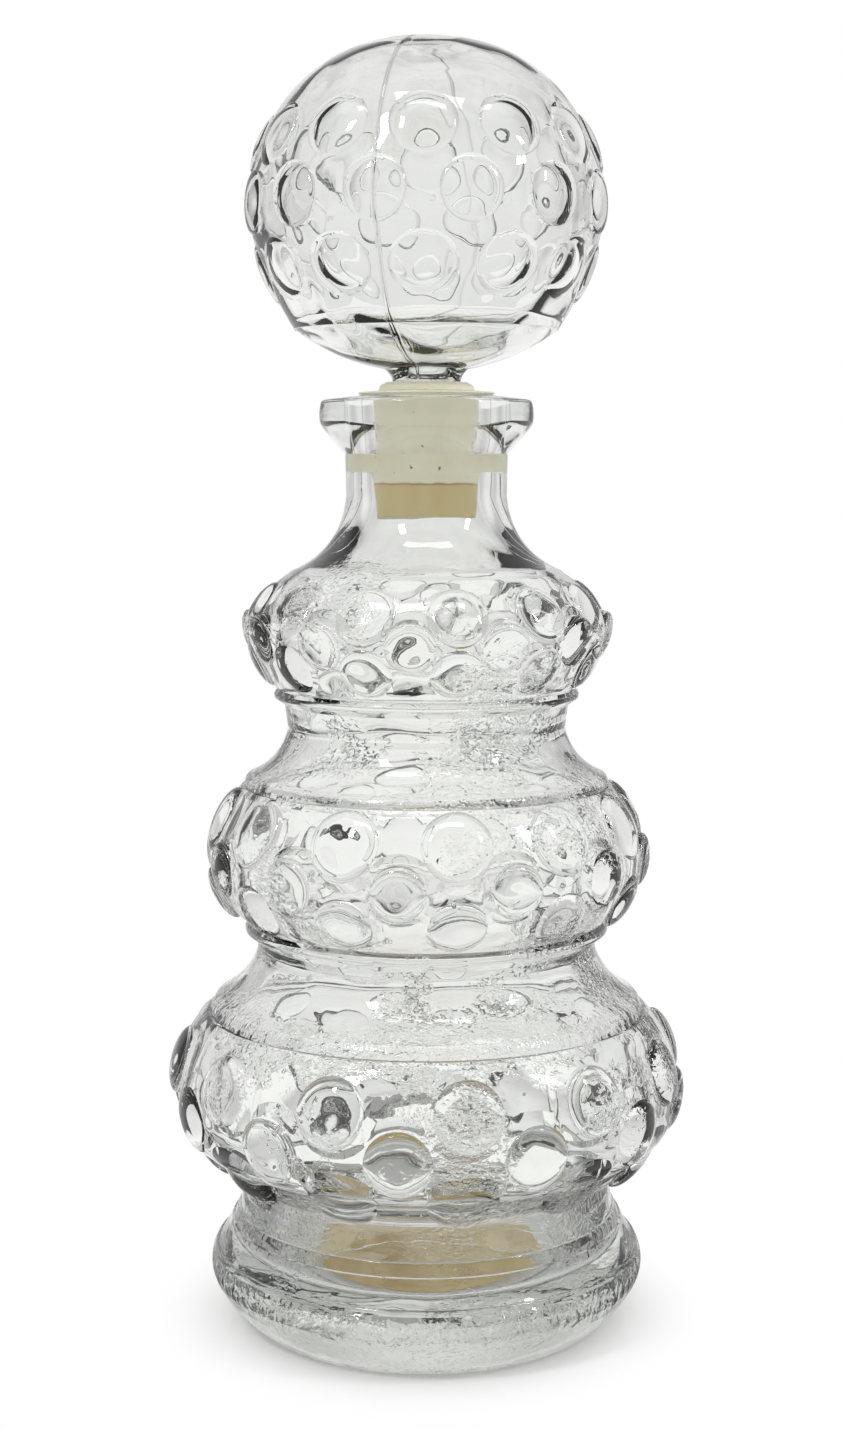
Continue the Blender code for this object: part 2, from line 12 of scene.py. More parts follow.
import bpy
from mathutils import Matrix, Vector


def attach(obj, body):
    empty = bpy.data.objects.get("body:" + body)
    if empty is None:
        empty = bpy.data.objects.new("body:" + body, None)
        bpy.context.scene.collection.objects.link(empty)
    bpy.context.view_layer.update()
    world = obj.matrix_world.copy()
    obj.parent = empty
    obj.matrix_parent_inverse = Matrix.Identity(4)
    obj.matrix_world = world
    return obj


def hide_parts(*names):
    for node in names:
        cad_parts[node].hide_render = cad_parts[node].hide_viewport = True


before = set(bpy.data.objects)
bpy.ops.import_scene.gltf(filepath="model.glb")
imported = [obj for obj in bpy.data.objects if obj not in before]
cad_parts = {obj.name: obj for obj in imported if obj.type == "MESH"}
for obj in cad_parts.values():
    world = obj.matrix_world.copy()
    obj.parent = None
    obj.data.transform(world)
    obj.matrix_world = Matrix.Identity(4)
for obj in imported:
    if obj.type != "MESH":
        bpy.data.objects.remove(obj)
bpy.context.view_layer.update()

# %% [markdown]
# ## The camera
#
# The photograph looks down on the bottle by six and a half degrees from a little over half a metre.
# A camera could be placed by eye, but the rings of the bottle give it exactly: the closer a ring is to the
# height of the eye, the flatter its ellipse is. The picture is 1429 pixels high, and the lens is 2250 pixels long.

# %% Place the camera
PICTURE_HEIGHT = 1429
LENS_PIXELS = 2250
SIDE_PIXELS = 5
SENSOR_HEIGHT = 36.0
NEAREST_SEEN = 0.01
EYE = Vector((0.0, -0.5734, 0.2222))
TILT_DOWN = math.radians(6.5)

bpy.ops.object.select_all(action="DESELECT")
bpy.ops.object.camera_add(location=EYE, rotation=(math.pi / 2 - TILT_DOWN, 0.0, 0.0))
camera = bpy.context.active_object
camera.name = "camera"
camera.data.sensor_fit = "VERTICAL"
camera.data.sensor_height = SENSOR_HEIGHT
camera.data.lens = SENSOR_HEIGHT * LENS_PIXELS / PICTURE_HEIGHT
camera.data.shift_x = -SIDE_PIXELS / PICTURE_HEIGHT
camera.data.clip_start = NEAREST_SEEN
bpy.context.scene.camera = camera
print("camera lens in mm:", round(camera.data.lens, 2))

# %% [markdown]
# ## Helpers for turned glass
#
# Every glass and plastic piece here is round about the bottle's axis. Such a piece could be cut from a cylinder,
# but an outline that is spun about the axis follows the real moulds better. The outline is drawn as by hand:
# a plane is merged to one point, and that point is extruded from station to station.

# %% An outline with swelling and hollow stretches
def arc(start, end, bulge, steps):
    """Points after start, up to and with end, that stand bulge away from the straight line."""
    start, end = Vector(start), Vector(end)
    chord = end - start
    across = Vector((chord.y, -chord.x)).normalized()
    points = []
    for step in range(1, steps + 1):
        share = step / steps
        points.append(tuple(start + chord * share + across * 4 * bulge * share * (1 - share)))
    points[-1] = tuple(end)
    return points


def outline(first, stations):
    """The points of an outline from stations of (radius, height, bulge, steps), bottom to top."""
    points = [first]
    for radius, height, bulge, steps in stations:
        points += arc(points[-1], (radius, height), bulge, steps)
    return points


print("an arc of four steps:", arc((0.0, 0.0), (0.0, 1.0), 0.1, 4))

# %% Draw an outline and spin it
START_SIZE = 0.001
WELD = 0.000004


def edit(piece):
    """Selects one piece alone and opens it in edit mode with everything in it selected."""
    if bpy.context.object and bpy.context.object.mode != "OBJECT":
        bpy.ops.object.mode_set(mode="OBJECT")
    bpy.ops.object.select_all(action="DESELECT")
    bpy.context.view_layer.objects.active = piece
    piece.select_set(True)
    bpy.ops.object.mode_set(mode="EDIT")
    bpy.ops.mesh.select_all(action="SELECT")


def draw(name, points):
    """A wire in the XZ plane along an outline of (radius, height)."""
    bpy.ops.object.select_all(action="DESELECT")
    bpy.ops.mesh.primitive_plane_add(size=START_SIZE, location=(points[0][0], 0.0, points[0][1]))
    piece = bpy.context.active_object
    piece.name = name
    piece.data.name = name
    edit(piece)
    bpy.ops.mesh.merge(type="CENTER")
    for (radius_a, height_a), (radius_b, height_b) in zip(points, points[1:]):
        step = (radius_b - radius_a, 0.0, height_b - height_a)
        bpy.ops.mesh.extrude_region_move(TRANSFORM_OT_translate={"value": step})
    bpy.ops.object.mode_set(mode="OBJECT")
    bpy.ops.object.transform_apply(location=True, rotation=True, scale=True)
    return piece


def turned(name, points, steps):
    """A closed turned piece: an outline that starts and ends on the axis, spun about it."""
    piece = draw(name, points)
    edit(piece)
    bpy.ops.mesh.spin(steps=steps, angle=math.tau, center=(0.0, 0.0, 0.0), axis=(0.0, 0.0, 1.0))
    bpy.ops.mesh.select_all(action="SELECT")
    bpy.ops.mesh.remove_doubles(threshold=WELD)
    bpy.ops.mesh.normals_make_consistent(inside=False)
    bpy.ops.object.mode_set(mode="OBJECT")
    print(name, "has", len(piece.data.polygons), "faces after its spin")
    return piece


# %% [markdown]
# ## Helpers for edges, shading and joining
#
# Pressed glass has no knife edges: each ridge has a small round that catches a line of light. The whole piece
# could be bevelled, but the rings that the eye sees are few, so only those are found by their place and rounded.

# %% Soften chosen rings and finish the shading
NEAR = 0.00006


def soften(piece, rings, width, segments=2):
    """Bevels the rings of edges at the given (radius, height) places."""
    edit(piece)
    bpy.ops.mesh.select_all(action="DESELECT")
    bpy.ops.mesh.select_mode(type="EDGE")
    bpy.ops.object.mode_set(mode="OBJECT")
    found = 0
    places = [(math.hypot(v.co.x, v.co.y), v.co.z) for v in piece.data.vertices]
    wanted = [
        any(abs(radius - r) < NEAR and abs(height - z) < NEAR for r, z in rings)
        for radius, height in places
    ]
    for edge in piece.data.edges:
        a, b = edge.vertices
        level = abs(places[a][1] - places[b][1]) < NEAR
        edge.select = wanted[a] and wanted[b] and level and abs(places[a][0] - places[b][0]) < NEAR
        found += edge.select
    bpy.ops.object.mode_set(mode="EDIT")
    bpy.ops.mesh.bevel(offset=width, segments=segments, affect="EDGES")
    bpy.ops.mesh.select_mode(type="VERT")
    bpy.ops.object.mode_set(mode="OBJECT")
    print(piece.name, "has", found, "edges softened")


def shade(piece, degrees):
    """Smooth shading, with a crease where faces meet at more than so many degrees."""
    bpy.ops.object.select_all(action="DESELECT")
    piece.select_set(True)
    bpy.context.view_layer.objects.active = piece
    bpy.ops.object.shade_smooth_by_angle(angle=math.radians(degrees))


# %% Join pieces, or cut one with another
def merge(pieces):
    """One piece from several, none of which touch each other."""
    bpy.ops.object.select_all(action="DESELECT")
    for piece in pieces:
        piece.select_set(True)
    bpy.context.view_layer.objects.active = pieces[0]
    if len(pieces) > 1:
        bpy.ops.object.join()
    return pieces[0]


def combine(piece, other, operation):
    """Joins another closed piece to this one, or cuts it away, and deletes it."""
    bpy.ops.object.select_all(action="DESELECT")
    bpy.context.view_layer.objects.active = piece
    piece.select_set(True)
    bpy.ops.object.modifier_add(type="BOOLEAN")
    boolean = piece.modifiers[-1]
    boolean.operation = operation
    boolean.solver = "EXACT"
    boolean.object = other
    bpy.ops.object.modifier_apply(modifier=boolean.name)
    bpy.data.objects.remove(other, do_unlink=True)


# %% [markdown]
# ## The bottle's body
#
# The bottle is blown into a mould, so its outside and its hollow are two skins of one glass. They could be two
# pieces, but one closed outline that runs up the outside, over the lip and down the hollow gives a true wall,
# which glass needs to bend light as it should. Each station is a radius and a height, read from the photograph.

# %% The outside of the bottle
RIM = 0.2379
FOOT = [(0.0371, 0.0040, 0.0, 4), (0.0388, 0.0004, 0.0, 1), (0.0396, 0.0, 0.0, 1), (0.0458, 0.0, 0.0, 2),
        (0.0466, 0.0004, 0.0001, 2), (0.0545, 0.0093, 0.0006, 4)]
ROLL = [(0.0549, 0.0194, 0.0015, 10), (0.0543, 0.0195, 0.0, 1), (0.0508, 0.0258, -0.0002, 4),
        (0.0503, 0.0260, 0.0, 1), (0.0491, 0.0290, 0.0, 2), (0.0486, 0.0291, 0.0, 1),
        (0.0468, 0.0374, 0.0002, 4)]
LOWER_TIER = [(0.0570, 0.0461, 0.0010, 6), (0.0642, 0.0575, 0.0022, 9), (0.0568, 0.0810, 0.0034, 16)]
LOWER_STEP = [(0.0560, 0.0810, 0.0, 1), (0.0545, 0.0842, 0.0002, 4), (0.0536, 0.0847, 0.0, 1),
              (0.0437, 0.0963, -0.0014, 8)]
MIDDLE_RIDGE = [(0.0435, 0.0994, 0.0, 2), (0.0467, 0.1018, 0.0, 2), (0.0467, 0.1034, 0.0001, 2),
                (0.0459, 0.1045, 0.0, 1)]
MIDDLE_TIER = [(0.0556, 0.1225, 0.0027, 13), (0.0473, 0.1393, 0.0013, 12)]
MIDDLE_STEP = [(0.0467, 0.1393, 0.0, 1), (0.0461, 0.1416, 0.0002, 3), (0.0454, 0.1420, 0.0, 1),
               (0.0355, 0.1540, -0.0020, 8)]
UPPER_RIDGE = [(0.0363, 0.1599, 0.0, 2), (0.0389, 0.1618, 0.0, 2), (0.0389, 0.1630, 0.0001, 2),
               (0.0382, 0.1640, 0.0, 1)]
UPPER_TIER = [(0.0457, 0.1785, 0.0009, 11), (0.0350, 0.1932, 0.0018, 11)]
NECK = [(0.0345, 0.1937, 0.0, 1), (0.0204, 0.2125, -0.0035, 14), (0.0206, 0.2233, 0.0, 5),
        (0.0268, 0.2306, 0.0001, 6)]
LIP = [(0.0268, 0.2356, 0.0003, 6), (0.0258, 0.2368, 0.0003, 4), (0.0170, RIM, 0.0, 2), (0.0150, RIM, 0.0, 1)]

outside = outline((0.0, 0.0040), FOOT + ROLL + LOWER_TIER + LOWER_STEP + MIDDLE_RIDGE + MIDDLE_TIER
                  + MIDDLE_STEP + UPPER_RIDGE + UPPER_TIER + NECK + LIP)
print("points up the outside:", len(outside))

# %% The hollow of the bottle
FLOOR = [(0.0120, 0.0155, 0.0, 3), (0.0390, 0.0155, 0.0, 7), (0.0430, 0.0195, 0.0012, 5), (0.0425, 0.0374, 0.0, 5)]
HOLLOW_LOWER = [(0.0527, 0.0461, 0.0, 5), (0.0599, 0.0575, 0.0022, 7), (0.0525, 0.0810, 0.0027, 12)]
HOLLOW_WAISTS = [(0.0391, 0.0963, -0.0014, 8), (0.0413, 0.1045, 0.0, 4), (0.0513, 0.1225, 0.0027, 9),
                 (0.0430, 0.1393, 0.0013, 9), (0.0309, 0.1540, -0.0020, 8), (0.0336, 0.1640, 0.0, 5)]
HOLLOW_UPPER = [(0.0414, 0.1785, 0.0009, 8), (0.0307, 0.1932, 0.0018, 8), (0.0140, 0.2125, -0.0035, 10)]
MOUTH_ROUND = 0.0010
BORE = [(0.0140, RIM - MOUTH_ROUND, 0.0, 8)]

hollow = outline((0.0, 0.0147), FLOOR + HOLLOW_LOWER + HOLLOW_WAISTS + HOLLOW_UPPER + BORE)
print("points up the hollow:", len(hollow))

# %% Turn the bottle and round its ridges
BOTTLE_STEPS = 120
CREASES = [(0.0545, 0.0093), (0.0549, 0.0194), (0.0491, 0.0290), (0.0468, 0.0374), (0.0568, 0.0810),
           (0.0545, 0.0842), (0.0467, 0.1018), (0.0467, 0.1034), (0.0473, 0.1393), (0.0461, 0.1416),
           (0.0389, 0.1618), (0.0389, 0.1630), (0.0350, 0.1932), (0.0268, 0.2356)]
CREASE_ROUND = 0.0002
UNDER_LIP = [(0.0268, 0.2306)]
UNDER_LIP_ROUND = 0.0007

bottle = turned("bottle_glass", outside + hollow[::-1], BOTTLE_STEPS)
soften(bottle, CREASES, CREASE_ROUND)
soften(bottle, UNDER_LIP, UNDER_LIP_ROUND, 4)

# %% [markdown]
# ## Raised dots
#
# Twelve dots go round in each row, and the middle row stands half a step round from the others. A dot could be
# sculpted into the wall, but a pressed dot has a clear rim. So each one is a flattened ball with steep sides, cut
# to a button that is sunk in the wall, spun into a row of twelve and joined to the glass.

# %% Find a dot's seat on an outline
def seat(points, height):
    """The radius of an outline at a height, and how far it leans back there, in radians."""
    for (radius_a, height_a), (radius_b, height_b) in zip(points, points[1:]):
        if height_a <= height < height_b:
            share = (height - height_a) / (height_b - height_a)
            return radius_a + (radius_b - radius_a) * share, math.atan2(radius_a - radius_b, height_b - height_a)
    raise ValueError("that height is off the outline")


print("the widest tier's radius and lean at its top dots:", seat(outside, 0.0695))

# %% A row of dots
DOTS_A_ROW = 12
BUTTON_SHARE = 0.98
BACK_REACH = 0.0001
FACING_IN = -0.99


def dot_row(name, points, height, width, relief, turn, sunk, steep=0.25, rings=20):
    """A row of twelve buttons on an outline, each width across and relief proud of it.

    turn is the place of one dot in degrees from the front, sunk is how deep the button reaches in the glass, and
    a small steep makes its sides steeper. rings says how finely its ball is divided.
    """
    radius, lean = seat(points, height)
    around = math.radians(turn) - math.pi / 2
    outward = Vector((math.cos(lean) * math.cos(around), math.cos(lean) * math.sin(around), math.sin(lean)))
    foot = Vector((radius * math.cos(around), radius * math.sin(around), height))
    drop = (width / 2) ** 2 / (2 * radius)
    tall = (relief + drop) * (1 + steep)
    wide = width / 2 / math.sqrt(1 - (steep / (1 + steep)) ** 2)
    bpy.ops.object.select_all(action="DESELECT")
    bpy.ops.mesh.primitive_uv_sphere_add(
        segments=rings * 3 // 2, ring_count=rings, radius=1.0, scale=(wide, wide, tall),
        location=foot + outward * (relief - tall), rotation=(0.0, math.pi / 2 - lean, around),
    )
    row = bpy.context.active_object
    row.name = name
    bpy.ops.object.transform_apply(location=True, rotation=True, scale=True)
    edit(row)
    depth = min(sunk, tall * BUTTON_SHARE - relief)
    bpy.ops.mesh.bisect(plane_co=foot - outward * depth, plane_no=outward, use_fill=True, clear_inner=True)
    bpy.ops.mesh.select_mode(type="FACE")
    bpy.ops.mesh.select_all(action="DESELECT")
    bpy.ops.object.mode_set(mode="OBJECT")
    for face in row.data.polygons:
        face.select = face.normal.dot(outward) < FACING_IN
    bpy.ops.object.mode_set(mode="EDIT")
    bpy.ops.mesh.extrude_region_move(TRANSFORM_OT_translate={"value": outward * (depth - sunk - BACK_REACH)})
    bpy.ops.mesh.select_mode(type="VERT")
    bpy.ops.mesh.select_all(action="SELECT")
    bpy.ops.mesh.spin(
        steps=DOTS_A_ROW - 1, dupli=True, angle=math.tau * (DOTS_A_ROW - 1) / DOTS_A_ROW,
        center=(0.0, 0.0, 0.0), axis=(0.0, 0.0, 1.0),
    )
    bpy.ops.mesh.select_all(action="SELECT")
    bpy.ops.mesh.normals_make_consistent(inside=False)
    bpy.ops.object.mode_set(mode="OBJECT")
    return row


# %% The dots of the three tiers
# height, width, relief, place of one dot in degrees, for the lower, middle and upper tier
TOP_DOTS = [(0.0695, 0.0172, 0.0022, 9), (0.1314, 0.0176, 0.0019, 8), (0.1851, 0.0152, 0.0016, 10)]
MIDDLE_DOTS = [(0.0578, 0.0168, 0.0022, -6), (0.1204, 0.0135, 0.0019, -7), (0.1772, 0.0126, 0.0016, -5)]
BOTTOM_DOTS = [(0.0452, 0.0174, 0.0022, 9), (0.1117, 0.0146, 0.0019, 8), (0.1708, 0.0134, 0.0016, 10)]
DOT_SUNK = 0.0034

# the shallow hollow behind each dot
WALL = 0.0043
DIMPLE_DEPTH = 0.0006
DIMPLE_SUNK = 0.0014
DIMPLE_WIDTH_SHARE = 0.95
DIMPLE_STEEP = 3.0
DIMPLE_RINGS = 16


def dimple_rows(rows):
    """Shallow hollows in the inner skin behind each dot."""
    made = []
    for height, width, _, turn in rows:
        inner_height = height - WALL * math.sin(seat(outside, height)[1])
        made.append(dot_row("dimples", hollow, inner_height, width * DIMPLE_WIDTH_SHARE, DIMPLE_DEPTH, turn,
                            DIMPLE_SUNK, DIMPLE_STEEP, DIMPLE_RINGS))
    return merge(made)


for label, rows in (("top", TOP_DOTS), ("middle", MIDDLE_DOTS), ("bottom", BOTTOM_DOTS)):
    combine(bottle, merge([dot_row(f"{label}_dots", outside, *row, DOT_SUNK) for row in rows]), "UNION")
    combine(bottle, dimple_rows(rows), "DIFFERENCE")
    print(label, "rows are on, and the bottle has", len(bottle.data.polygons), "faces")

# %% [markdown]
# ## Seeds in the glass
#
# Old bottle glass holds a few tiny bubbles, which glass makers call seeds. They could be painted on, but a real
# bubble shines at its edge from every side. Each one is a tiny ball inside the wall, turned inside out, because
# there the glass lies outside the ball.

# %% Put the seeds in the wall
# degrees from the front, height, size across
SEEDS = [(-8, 0.0902, 0.0009), (12, 0.0868, 0.0007), (7, 0.1173, 0.0010), (-19, 0.1330, 0.0006),
         (22, 0.0730, 0.0008), (-27, 0.0665, 0.0007), (3, 0.1082, 0.0007), (41, 0.1240, 0.0008),
         (-44, 0.0525, 0.0007), (16, 0.1505, 0.0006), (-12, 0.0250, 0.0007), (24, 0.0215, 0.0006),
         (-60, 0.0930, 0.0008), (75, 0.0880, 0.0009), (110, 0.1200, 0.0008), (150, 0.0700, 0.0010),
         (-130, 0.0910, 0.0008), (-100, 0.1480, 0.0007), (180, 0.1790, 0.0007), (-155, 0.0330, 0.0008)]
SEED_DEPTH_SHARE = 0.45
GLASS_CREASE = 24


def seed(turn, height, size):
    """A tiny bubble half way into the wall, with its faces towards its own middle."""
    radius = seat(outside, height)[0] - WALL * SEED_DEPTH_SHARE
    around = math.radians(turn) - math.pi / 2
    bpy.ops.mesh.primitive_uv_sphere_add(
        segments=16, ring_count=10, radius=size / 2,
        location=(radius * math.cos(around), radius * math.sin(around), height),
    )
    bubble = bpy.context.active_object
    bpy.ops.object.transform_apply(location=True, rotation=True, scale=True)
    edit(bubble)
    bpy.ops.mesh.flip_normals()
    bpy.ops.object.mode_set(mode="OBJECT")
    return bubble


merge([bottle] + [seed(*place) for place in SEEDS])
print("seeds in the wall:", len(SEEDS))
shade(bottle, GLASS_CREASE)

# %% [markdown]
# ## The ball stopper
#
# The ball is blown thin, so its hollow follows its outside, dots and all, and each dot shows two rims. It could
# be a ball with a stem stuck on, but the outline that runs up the outside and back down the hollow through the
# stem is the real piece. The hollow's dots are cut with the same caps, a little smaller.

# %% Turn the ball and its stem
STEM = [(0.0076, 0.2130, 0.0, 2), (0.0080, 0.2134, 0.0, 1), (0.0085, 0.2412, 0.0, 6), (0.0106, 0.2445, -0.0004, 4)]
BALL = [(0.0328, 0.2540, 0.0014, 6), (0.0334, 0.2546, 0.0001, 2), (0.0445, 0.2815, 0.0014, 16),
        (0.0332, 0.3126, 0.0032, 18), (0.0, 0.3250, 0.0042, 16)]
BALL_HOLLOW = [(0.0056, 0.2475, 0.0, 8), (0.0304, 0.2576, 0.0014, 6), (0.0415, 0.2815, 0.0014, 14),
               (0.0302, 0.3126, 0.0032, 14), (0.0, 0.3220, 0.0042, 12)]
BALL_STEPS = 144
BALL_CREASES = [(0.0334, 0.2546), (0.0328, 0.2540), (0.0332, 0.3126)]
BALL_ROUND = 0.0006

ball_outside = outline((0.0060, 0.2130), STEM + BALL)
ball_hollow = outline((0.0056, 0.2134), BALL_HOLLOW)
ball = turned("ball_glass", ball_hollow[::-1] + ball_outside, BALL_STEPS)
soften(ball, BALL_CREASES, BALL_ROUND, 3)

# %% The dots of the ball, outside and inside
BALL_DOTS = [(0.3002, 0.0166, 0.0013, -1), (0.2847, 0.0156, 0.0013, 14), (0.2675, 0.0170, 0.0012, -1)]
BALL_DOT_SUNK = 0.0022
BALL_DOT_RINGS = 24
BALL_WALL = 0.0030
INNER_WIDTH_SHARE = 0.78
INNER_RELIEF_SHARE = 0.8
INNER_SUNK = 0.0014
INNER_STEEP = 2.0

for rows in (BALL_DOTS[::2], BALL_DOTS[1::2]):
    raised = [dot_row("ball_dots", ball_outside, *row, BALL_DOT_SUNK, rings=BALL_DOT_RINGS) for row in rows]
    combine(ball, merge(raised), "UNION")
for rows in (BALL_DOTS[::2], BALL_DOTS[1::2]):
    caps = []
    for height, width, relief, turn in rows:
        inner_height = height - BALL_WALL * math.sin(seat(ball_outside, height)[1])
        caps.append(dot_row("hollow_dots", ball_hollow, inner_height, width * INNER_WIDTH_SHARE,
                            relief * INNER_RELIEF_SHARE, turn, INNER_SUNK, INNER_STEEP, BALL_DOT_RINGS))
    combine(ball, merge(caps), "DIFFERENCE")
shade(ball, GLASS_CREASE)
print("ball faces:", len(ball.data.polygons))

# %% [markdown]
# ## The plastic sleeve
#
# The sleeve is a soft moulding: a thin flange on the lip, a shallow dome where the stem goes in, a plain cylinder,
# a sealing rib and a tapered plug that is closed like a cup. It could be the CAD solid, which is right but coarse,
# so the same outline is turned again with rounded edges.

# %% Turn the sleeve
SLEEVE = [(0.0122, 0.2076, 0.0, 3), (0.0125, 0.2079, 0.0001, 2), (0.0132, 0.2160, 0.0, 4), (0.01405, 0.2189, 0.0, 2),
          (0.01405, 0.2247, 0.0, 4), (0.0134, 0.2253, 0.0, 1), (0.0134, 0.2382, 0.0, 6), (0.0170, 0.2382, 0.0, 2),
          (0.0172, 0.2384, 0.0, 1), (0.0170, 0.2387, 0.0, 1), (0.0121, 0.2391, 0.0, 3), (0.0106, 0.2409, 0.0005, 4),
          (0.0102, 0.2412, 0.0001, 2), (0.0089, 0.2412, 0.0, 1)]
SOCKET = [(0.0083, 0.2091, 0.0, 3), (0.0083, 0.2130, 0.0, 2), (0.0088, 0.2410, 0.0, 8)]
SMALL_STEPS = 96
SOFT_CREASE = 35

sleeve_outside = outline((0.0, 0.2076), SLEEVE)
socket = outline((0.0, 0.2091), SOCKET)
sleeve = turned("plastic_sleeve", sleeve_outside + socket[::-1], SMALL_STEPS)
shade(sleeve, SOFT_CREASE)

# %% [markdown]
# ## The paper disc
#
# A plain tan disc is glued up under the base. It could be a flat circle, but paper has an edge, so it is a thin
# turned slab with a slightly worn rim.

# %% Turn the disc
DISC = [(0.0311, 0.0033, 0.0, 6), (0.0315, 0.0034, 0.0, 1), (0.0315, 0.0036, 0.0, 1), (0.0313, 0.0037, 0.0, 1),
        (0.0, 0.0037, 0.0, 6)]
disc = turned("paper_disc", outline((0.0, 0.0033), DISC), SMALL_STEPS)
shade(disc, SOFT_CREASE)

# %% [markdown]
# ## Node steps for the finishes
#
# A finish is a tree of nodes. The nodes could be wired one by one each time, but a noise, a ramp or a bump is
# always wired in the same way, so one toolbox holds these steps and each finish below calls them by name.

# %% A toolbox for node trees
def grey(value):
    """A grey as a colour."""
    return (value, value, value, 1.0)


def toolbox(tree):
    """The steps that the finishes share, for one node tree. Each gives back the socket to go on from."""
    link = tree.links.new

    def add(kind, **settings):
        node = tree.nodes.new(kind)
        for key, value in settings.items():
            if key in node.inputs:
                node.inputs[key].default_value = value
            else:
                setattr(node, key, value)
        return node

    def noise(place, scale, detail, distortion=0.0):
        node = add("ShaderNodeTexNoise", Scale=scale, Detail=detail, Distortion=distortion)
        link(place, node.inputs["Vector"])
        return node.outputs["Fac"]

    def remap(value, low, high, low_result=0.0, high_result=1.0, soft=True):
        node = add("ShaderNodeMapRange", interpolation_type="SMOOTHSTEP" if soft else "LINEAR")
        node.inputs["From Min"].default_value = low
        node.inputs["From Max"].default_value = high
        node.inputs["To Min"].default_value = low_result
        node.inputs["To Max"].default_value = high_result
        link(value, node.inputs["Value"])
        return node.outputs["Result"]

    def calculate(operation, *values):
        node = add("ShaderNodeMath", operation=operation)
        for slot, value in zip(node.inputs, values):
            if isinstance(value, float):
                slot.default_value = value
            else:
                link(value, slot)
        return node.outputs[0]

    def ramp(value, stops):
        node = add("ShaderNodeValToRGB")
        elements = node.color_ramp.elements
        for element, (position, colour) in ((elements[0], stops[0]), (elements[1], stops[-1])):
            element.position = position
            element.color = colour
        for position, colour in stops[1:-1]:
            elements.new(position).color = colour
        link(value, node.inputs["Fac"])
        return node.outputs["Color"]

    def bump(height, strength, distance, below=None):
        node = add("ShaderNodeBump", Strength=strength, Distance=distance)
        link(height, node.inputs["Height"])
        if below:
            link(below, node.inputs["Normal"])
        return node.outputs["Normal"]

    return SimpleNamespace(link=link, add=add, noise=noise, remap=remap, calculate=calculate, ramp=ramp, bump=bump)


def new_material(name):
    """A material with its Principled shader, the toolbox for its tree, and the place on the piece."""
    made = bpy.data.materials.new(name)
    made.use_nodes = True
    tools = toolbox(made.node_tree)
    place = tools.add("ShaderNodeTexCoord").outputs["Object"]
    return made, made.node_tree.nodes["Principled BSDF"], tools, place


print("a middle grey:", grey(0.5))

# %% [markdown]
# ## Clear glass
#
# Old soda glass is clear with a breath of grey-green where it is thick. Its skin is never quite even, which
# shows as soft waves in all that is seen through it. A clean, even glass would look like plastic, so noise in the
# bump gives the waves, and a finer noise in patches gives the dried water marks. The base is hammered by its
# mould, and a seam runs up the side where the mould halves meet.

# %% The numbers of the glass
GLASS_COLOUR = (0.995, 1.0, 0.985, 1.0)
GLASS_INSIDE = (0.74, 0.77, 0.72, 1.0)
GLASS_BEND = 1.5
RAMP_TOP = 0.33
OUTER_SKIN = (0.0445, 0.0455)
MARK_HEIGHT = 0.0006
DENT_HEIGHT = 0.0012
RIPPLE_HEIGHT = 0.0010
WAVE_HEIGHT = 0.0030
SEAM_HALF_WIDTH = 0.00045
SEAM_HEIGHT = 0.00016
print("the glass is clear to", GLASS_COLOUR[:3], "and bends light by", GLASS_BEND)

